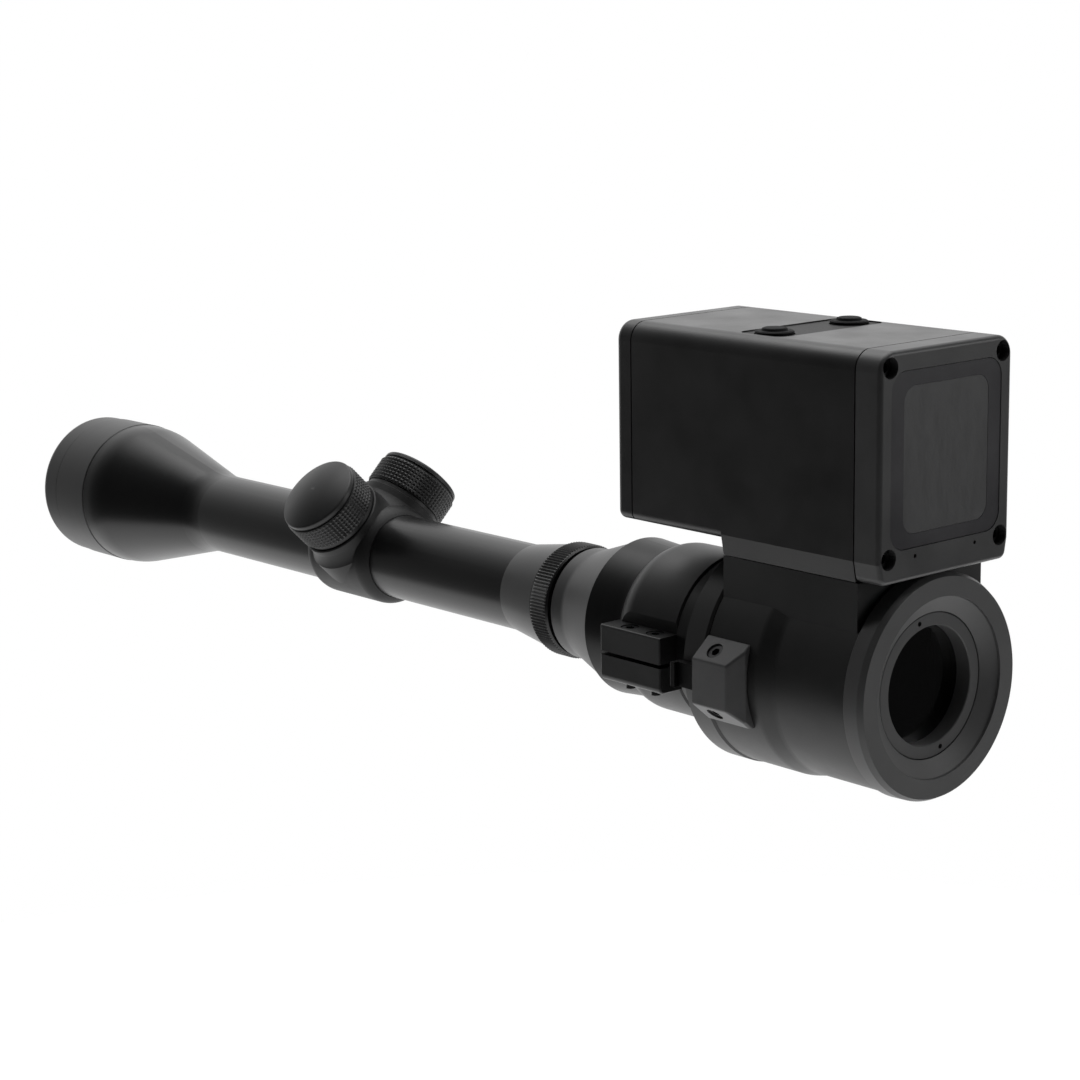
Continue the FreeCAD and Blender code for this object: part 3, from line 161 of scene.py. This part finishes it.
def dark_pane(name, colour, roughness):
    """Tinted glass over a display that is switched off, with faint wiping marks."""
    look = Look(name)
    wipes = look.noise((120.0, 420.0, 150.0), 5.0, 0.65)
    dust = look.noise(2400.0, 2.0)
    look.colours(dust, scaled(colour, 0.95), scaled(colour, 1.05))
    look.link(look.spread(wipes, roughness - 0.04, roughness + 0.06), look.shader.inputs["Roughness"])
    look.bumps([(wipes, 0.004 * MM, 0.06)])
    look.shader.inputs["Coat Weight"].default_value = 0.2
    return look.material


def moulded(name, colour, roughness, grain=1800.0, shine=0.5):
    """Moulded rubber or plastic with a pebbled skin."""
    look = Look(name)
    pebble = look.noise(grain, 2.0)
    cloud = look.noise(80.0, 4.0)
    look.colours(cloud, scaled(colour, 0.85), scaled(colour, 1.15))
    look.link(look.spread(pebble, roughness - 0.05, roughness + 0.05), look.shader.inputs["Roughness"])
    look.bumps([(pebble, 0.03 * MM, 0.4)])
    look.shader.inputs["Specular IOR Level"].default_value = shine
    return look.material


TUBE_BLACK = turned("tube_black", (0.0042, 0.0042, 0.0044), 0.30)
BELL_BLACK = turned("bell_black", (0.0042, 0.0042, 0.0044), 0.34, shine=0.22)
BARREL_BLACK = anodised("barrel_black", (0.0060, 0.0060, 0.0062), 0.42, 2800.0, 0.02, shine=0.42)
LEVER_BLACK = anodised("lever_black", (0.0018, 0.0018, 0.0020), 0.45, 2800.0, 0.02, shine=0.12)
LATCH_GREY = anodised("latch_grey", (0.0620, 0.0620, 0.0630), 0.42, 2800.0, 0.02)
RING_GREY = turned("ring_grey", (0.026, 0.026, 0.0265), 0.40, 0.12)
NECK_GREY = turned("neck_grey", (0.022, 0.022, 0.0225), 0.40, 0.12)
SADDLE_MATT = anodised("saddle_matt", (0.0055, 0.0055, 0.0057), 0.50, 2400.0, 0.05, shine=0.38)
CAP_BLACK = anodised("cap_black", (0.0090, 0.0090, 0.0093), 0.44, 2600.0, 0.04)
KNURL_BLACK = anodised("knurl_black", (0.0130, 0.0130, 0.0133), 0.38, 3000.0, 0.02)
CLAMP_BLACK = anodised("clamp_black", (0.0080, 0.0080, 0.0083), 0.38, 2600.0, 0.03, shine=0.4)
BOX_BLACK = anodised("box_black", (0.0065, 0.0062, 0.0065), 0.36, 2600.0, 0.03)
BEZEL_BLACK = anodised("bezel_black", (0.0330, 0.0330, 0.0335), 0.40, 2600.0, 0.03, 0.12)
FRAME_BLACK = anodised("frame_black", (0.0220, 0.0210, 0.0240), 0.36, 3200.0, 0.012, 0.1)
DISH_BLACK = turned("dish_black", (0.056, 0.056, 0.0565), 0.46, 0.12)
RIM_BLACK = turned("rim_black", (0.014, 0.014, 0.0142), 0.40, 0.12)
LENS_GLASS = clear("lens_glass", (0.92, 0.95, 0.96))
EYE_GLASS = clear("eye_glass", (0.20, 0.20, 0.21), 0.02, 0.0)
PRISM_GLASS = clear("prism_glass", (0.35, 0.36, 0.38), 0.02, 0.0)
DISPLAY_GLASS = dark_pane("display_glass", (0.0520, 0.0520, 0.0530), 0.36)
DISPLAY_DARK = dark_pane("display_dark", (0.02, 0.02, 0.021), 0.30)
SEAL_RUBBER = moulded("seal_rubber", (0.012, 0.012, 0.012), 0.7)
BUTTON_BLACK = moulded("button_black", (0.006, 0.006, 0.0065), 0.70, 2600.0, 0.12)
STRIP_BLACK = moulded("strip_black", (0.012, 0.0115, 0.012), 0.60, 2600.0, 0.3)
SCREW_BLACK = anodised("screw_black", (0.018, 0.018, 0.019), 0.30, 3600.0, 0.02, 0.3, 0.5)
SPRING_STEEL = turned("spring_steel", (0.35, 0.35, 0.36), 0.25, 0.1, 1.0)
INNER_METAL = turned("inner_metal", (0.05, 0.05, 0.052), 0.35, 0.1, 0.6)
BRASS = turned("brass", (0.60, 0.42, 0.16), 0.28, 0.1, 1.0)
BOARD_GREEN = moulded("board_green", (0.02, 0.10, 0.045), 0.4, 900.0)
BATTERY_WRAP = moulded("battery_wrap", (0.05, 0.06, 0.08), 0.3, 700.0)

NODE_LOOKS = {
    "objective_ring": RING_GREY,
    "ocular_neck": NECK_GREY,
    "ocular_bell": BELL_BLACK,
    "turret_saddle": SADDLE_MATT,
    "elevation_cap": CAP_BLACK,
    "windage_cap": CAP_BLACK,
    "clamp_ring": CLAMP_BLACK,
    "camera_barrel": BARREL_BLACK,
    "latch_block": LATCH_GREY,
    "latch_lever": LEVER_BLACK,
    "housing_body": BOX_BLACK,
    "front_cover": BOX_BLACK,
    "button_strip": STRIP_BLACK,
    "rear_bezel": BEZEL_BLACK,
    "display_frame": FRAME_BLACK,
    "rear_collar": DISH_BLACK,
    "window_ring": DISH_BLACK,
    "front_flange": RIM_BLACK,
    "eye_window": EYE_GLASS,
    "front_prism": PRISM_GLASS,
    "rear_prism": PRISM_GLASS,
}
SLOT_LOOKS = {
    "black_anodised": TUBE_BLACK,
    "satin_ring": RING_GREY,
    "knurled_cap": CAP_BLACK,
    "box_black": BOX_BLACK,
    "bezel_black": BEZEL_BLACK,
    "lens_glass": LENS_GLASS,
    "display_glass": DISPLAY_GLASS,
    "display_dark": DISPLAY_DARK,
    "seal_rubber": SEAL_RUBBER,
    "button_face": BUTTON_BLACK,
    "screw_steel": SCREW_BLACK,
    "spring_steel": SPRING_STEEL,
    "inner_metal": INNER_METAL,
    "plunger_brass": BRASS,
    "circuit_board": BOARD_GREEN,
    "battery_wrap": BATTERY_WRAP,
}
SLOT_OF = {part["node"]: part["material_slot"] for part in frame["record"]["subparts"]}
for node, thing in frame["nodes"].items():
    look = NODE_LOOKS.get(node, SLOT_LOOKS[SLOT_OF[node]])
    for material_slot in thing.material_slots:
        material_slot.material = look


# ---------------------------------------------------------------- fine pieces


def closed_rings(name, rings, count, matrix, material, body):
    """A closed band of rings round an axis.

    Each ring is (along, valley radius, ridge radius), in millimetres.
    """
    points = []
    around = count * 2
    for along, valley, ridge in rings:
        for step in range(around):
            angle = 2.0 * math.pi * step / around
            radius = ridge if step % 2 else valley
            across = Vector((radius * math.cos(angle), radius * math.sin(angle), along))
            points.append(matrix @ (across * MM))
    faces = []
    for i in range(len(rings)):
        here = i * around
        above = ((i + 1) % len(rings)) * around
        for step in range(around):
            after = (step + 1) % around
            corners = (here + step, here + after, above + after, above + step)
            if (i + step) % 2:
                faces.append((corners[0], corners[1], corners[2]))
                faces.append((corners[0], corners[2], corners[3]))
            else:
                faces.append((corners[0], corners[1], corners[3]))
                faces.append((corners[1], corners[2], corners[3]))
    mesh = bpy.data.meshes.new(name)
    mesh.from_pydata([tuple(p) for p in points], [], faces)
    mesh.update()
    mesh.materials.append(material)
    thing = bpy.data.objects.new(name, mesh)
    bpy.context.scene.collection.objects.link(thing)
    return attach(thing, body)


# turret cap knurl, in millimetres above the cap's underside
CAP_BASE = 17.0  # underside of a turret cap above the optical axis
CAP_RADIUS = 12.9
CAP_TILT = 45.0  # each turret leans this far from upright, in degrees
KNURL_ROWS = 7
KNURL_COUNT = 62
KNURL_LOW = 1.45
KNURL_HIGH = 9.4
KNURL_ROOT = 0.3  # how far the band's hidden edge lies inside the cap
KNURL_VALLEY = 0.04
KNURL_PEAK = 0.40


def cap_knurl(side, tilt):
    """The band of small pyramids round one turret cap."""
    root = CAP_RADIUS - KNURL_ROOT
    step = (KNURL_HIGH - KNURL_LOW) / (2 * KNURL_ROWS)
    rings = [(CAP_BASE + KNURL_LOW, root, root)]
    for i in range(2 * KNURL_ROWS + 1):
        peak = KNURL_PEAK if i % 2 else KNURL_VALLEY
        rings.append((CAP_BASE + KNURL_LOW + step * i, CAP_RADIUS + KNURL_VALLEY, CAP_RADIUS + peak))
    rings.append((CAP_BASE + KNURL_HIGH, root, root))
    turret = Matrix.Rotation(math.radians(tilt), 4, "X")
    closed_rings(f"{side}_knurl", rings, KNURL_COUNT, turret, KNURL_BLACK, f"{side}_cap")


cap_knurl("elevation", CAP_TILT)
cap_knurl("windage", -CAP_TILT)

# straight ribs round the lock ring, in millimetres along the optical axis
BAND_RADIUS = 15.95
BAND_FRONT = 93.45
BAND_REAR = 99.85
BAND_SLOPE = 0.4  # length over which the ribs rise at each end
BAND_ROOT = BAND_RADIUS - 0.25
BAND_EDGE = BAND_RADIUS + 0.02
RIB_VALLEY = BAND_RADIUS + 0.04
RIB_PEAK = BAND_RADIUS + 0.36
RIB_COUNT = 108
band_rings = [
    (BAND_FRONT, BAND_ROOT, BAND_ROOT),
    (BAND_FRONT, BAND_EDGE, BAND_EDGE),
    (BAND_FRONT + BAND_SLOPE, RIB_VALLEY, RIB_PEAK),
    (BAND_REAR - BAND_SLOPE, RIB_VALLEY, RIB_PEAK),
    (BAND_REAR, BAND_EDGE, BAND_EDGE),
    (BAND_REAR, BAND_ROOT, BAND_ROOT),
]
along_x = Matrix.Rotation(math.radians(90.0), 4, "Y")
closed_rings("lock_ring_ribs", band_rings, RIB_COUNT, along_x, KNURL_BLACK, "lock_ring")


# ---------------------------------------------------------------- camera

# where the camera looks from: angles round and above the object, and a slight lean
AZIMUTH = math.radians(49.12)
ELEVATION = math.radians(12.03)
ROLL = math.radians(-0.95)
SPOT = Vector((0.6328, -0.4787, 0.1707))
FOCAL_LENGTH = 87.06
SENSOR_WIDTH = 36.0
back = Vector((
    math.sin(AZIMUTH) * math.cos(ELEVATION),
    -math.cos(AZIMUTH) * math.cos(ELEVATION),
    math.sin(ELEVATION),
))
level = Vector((math.cos(AZIMUTH), math.sin(AZIMUTH), 0.0))
upward = back.cross(level)
right = level * math.cos(ROLL) + upward * math.sin(ROLL)
upright = upward * math.cos(ROLL) - level * math.sin(ROLL)
lens = bpy.data.cameras.new("Camera")
lens.lens = FOCAL_LENGTH
lens.sensor_width = SENSOR_WIDTH
lens.clip_start = 0.01
camera = bpy.data.objects.new("Camera", lens)
camera.matrix_world = Matrix((
    (right.x, upright.x, back.x, SPOT.x),
    (right.y, upright.y, back.y, SPOT.y),
    (right.z, upright.z, back.z, SPOT.z),
    (0.0, 0.0, 0.0, 1.0),
))
bpy.context.scene.collection.objects.link(camera)
bpy.context.scene.camera = camera
bpy.context.scene.view_settings.view_transform = "Standard"


# ---------------------------------------------------------------- floor and light

FLOOR_HEIGHT = -0.36
FLOOR_REACH = 0.8
FLOOR_MIDDLE = 0.1
FLOOR_CORNERS = 96
FLOOR_GLOW = 0.62
floor_points = [
    (
        FLOOR_MIDDLE + FLOOR_REACH * math.cos(2.0 * math.pi * i / FLOOR_CORNERS),
        FLOOR_REACH * math.sin(2.0 * math.pi * i / FLOOR_CORNERS),
        FLOOR_HEIGHT,
    )
    for i in range(FLOOR_CORNERS)
]
floor_mesh = bpy.data.meshes.new("floor")
floor_mesh.from_pydata(floor_points, [], [tuple(range(FLOOR_CORNERS))])
floor = bpy.data.objects.new("floor", floor_mesh)
bpy.context.scene.collection.objects.link(floor)
floor_look = Look("floor_white")
floor_look.colours(floor_look.noise(12.0), (0.80, 0.80, 0.80), (0.84, 0.84, 0.84))
floor_look.shader.inputs["Roughness"].default_value = 0.9
floor_look.shader.inputs["Emission Color"].default_value = (1.0, 1.0, 1.0, 1.0)
floor_look.shader.inputs["Emission Strength"].default_value = FLOOR_GLOW
floor_mesh.materials.append(floor_look.material)

# a white studio, bright beyond the object and dim on the camera's side
# the camera itself sees plain white
FAR_LIGHT = 1.1
NEAR_LIGHT = 0.04
world = bpy.data.worlds.new("studio")
bpy.context.scene.world = world
world.use_nodes = True
sky = world.node_tree
sky_light = sky.nodes["Background"]
direction = sky.nodes.new("ShaderNodeTexCoord").outputs["Generated"]
facing = sky.nodes.new("ShaderNodeVectorMath")
facing.operation = "DOT_PRODUCT"
facing.inputs[1].default_value = (-math.sin(AZIMUTH), math.cos(AZIMUTH), 0.0)
sky.links.new(direction, facing.inputs[0])
fade = sky.nodes.new("ShaderNodeMapRange")
fade.interpolation_type = "SMOOTHSTEP"
fade.inputs["From Min"].default_value = 0.05
fade.inputs["From Max"].default_value = 0.85
fade.inputs["To Min"].default_value = NEAR_LIGHT
fade.inputs["To Max"].default_value = FAR_LIGHT
sky.links.new(facing.outputs["Value"], fade.inputs["Value"])
seen = sky.nodes.new("ShaderNodeLightPath")
choose = sky.nodes.new("ShaderNodeMix")
choose.inputs["B"].default_value = 1.0
sky.links.new(seen.outputs["Is Camera Ray"], choose.inputs["Factor"])
sky.links.new(fade.outputs["Result"], choose.inputs["A"])
sky_light.inputs["Color"].default_value = (1.0, 1.0, 1.0, 1.0)
sky.links.new(choose.outputs["Result"], sky_light.inputs["Strength"])


def softbox(name, spot, aim, width, height, power):
    """A rectangular soft light pointing at a place."""
    light = bpy.data.lights.new(name, "AREA")
    light.shape = "RECTANGLE"
    light.size = width
    light.size_y = height
    light.energy = power
    thing = bpy.data.objects.new(name, light)
    thing.location = spot
    toward = Vector(aim) - Vector(spot)
    thing.rotation_euler = toward.to_track_quat("-Z", "Y").to_euler()
    bpy.context.scene.collection.objects.link(thing)
    return thing


softbox("overhead", (0.0, 0.15, 0.95), (0.05, 0.0, 0.0), 1.3, 0.8, 8.5)
softbox("rear_fill", (1.15, 0.75, 0.30), (0.22, 0.0, 0.03), 0.45, 0.45, 3.2)
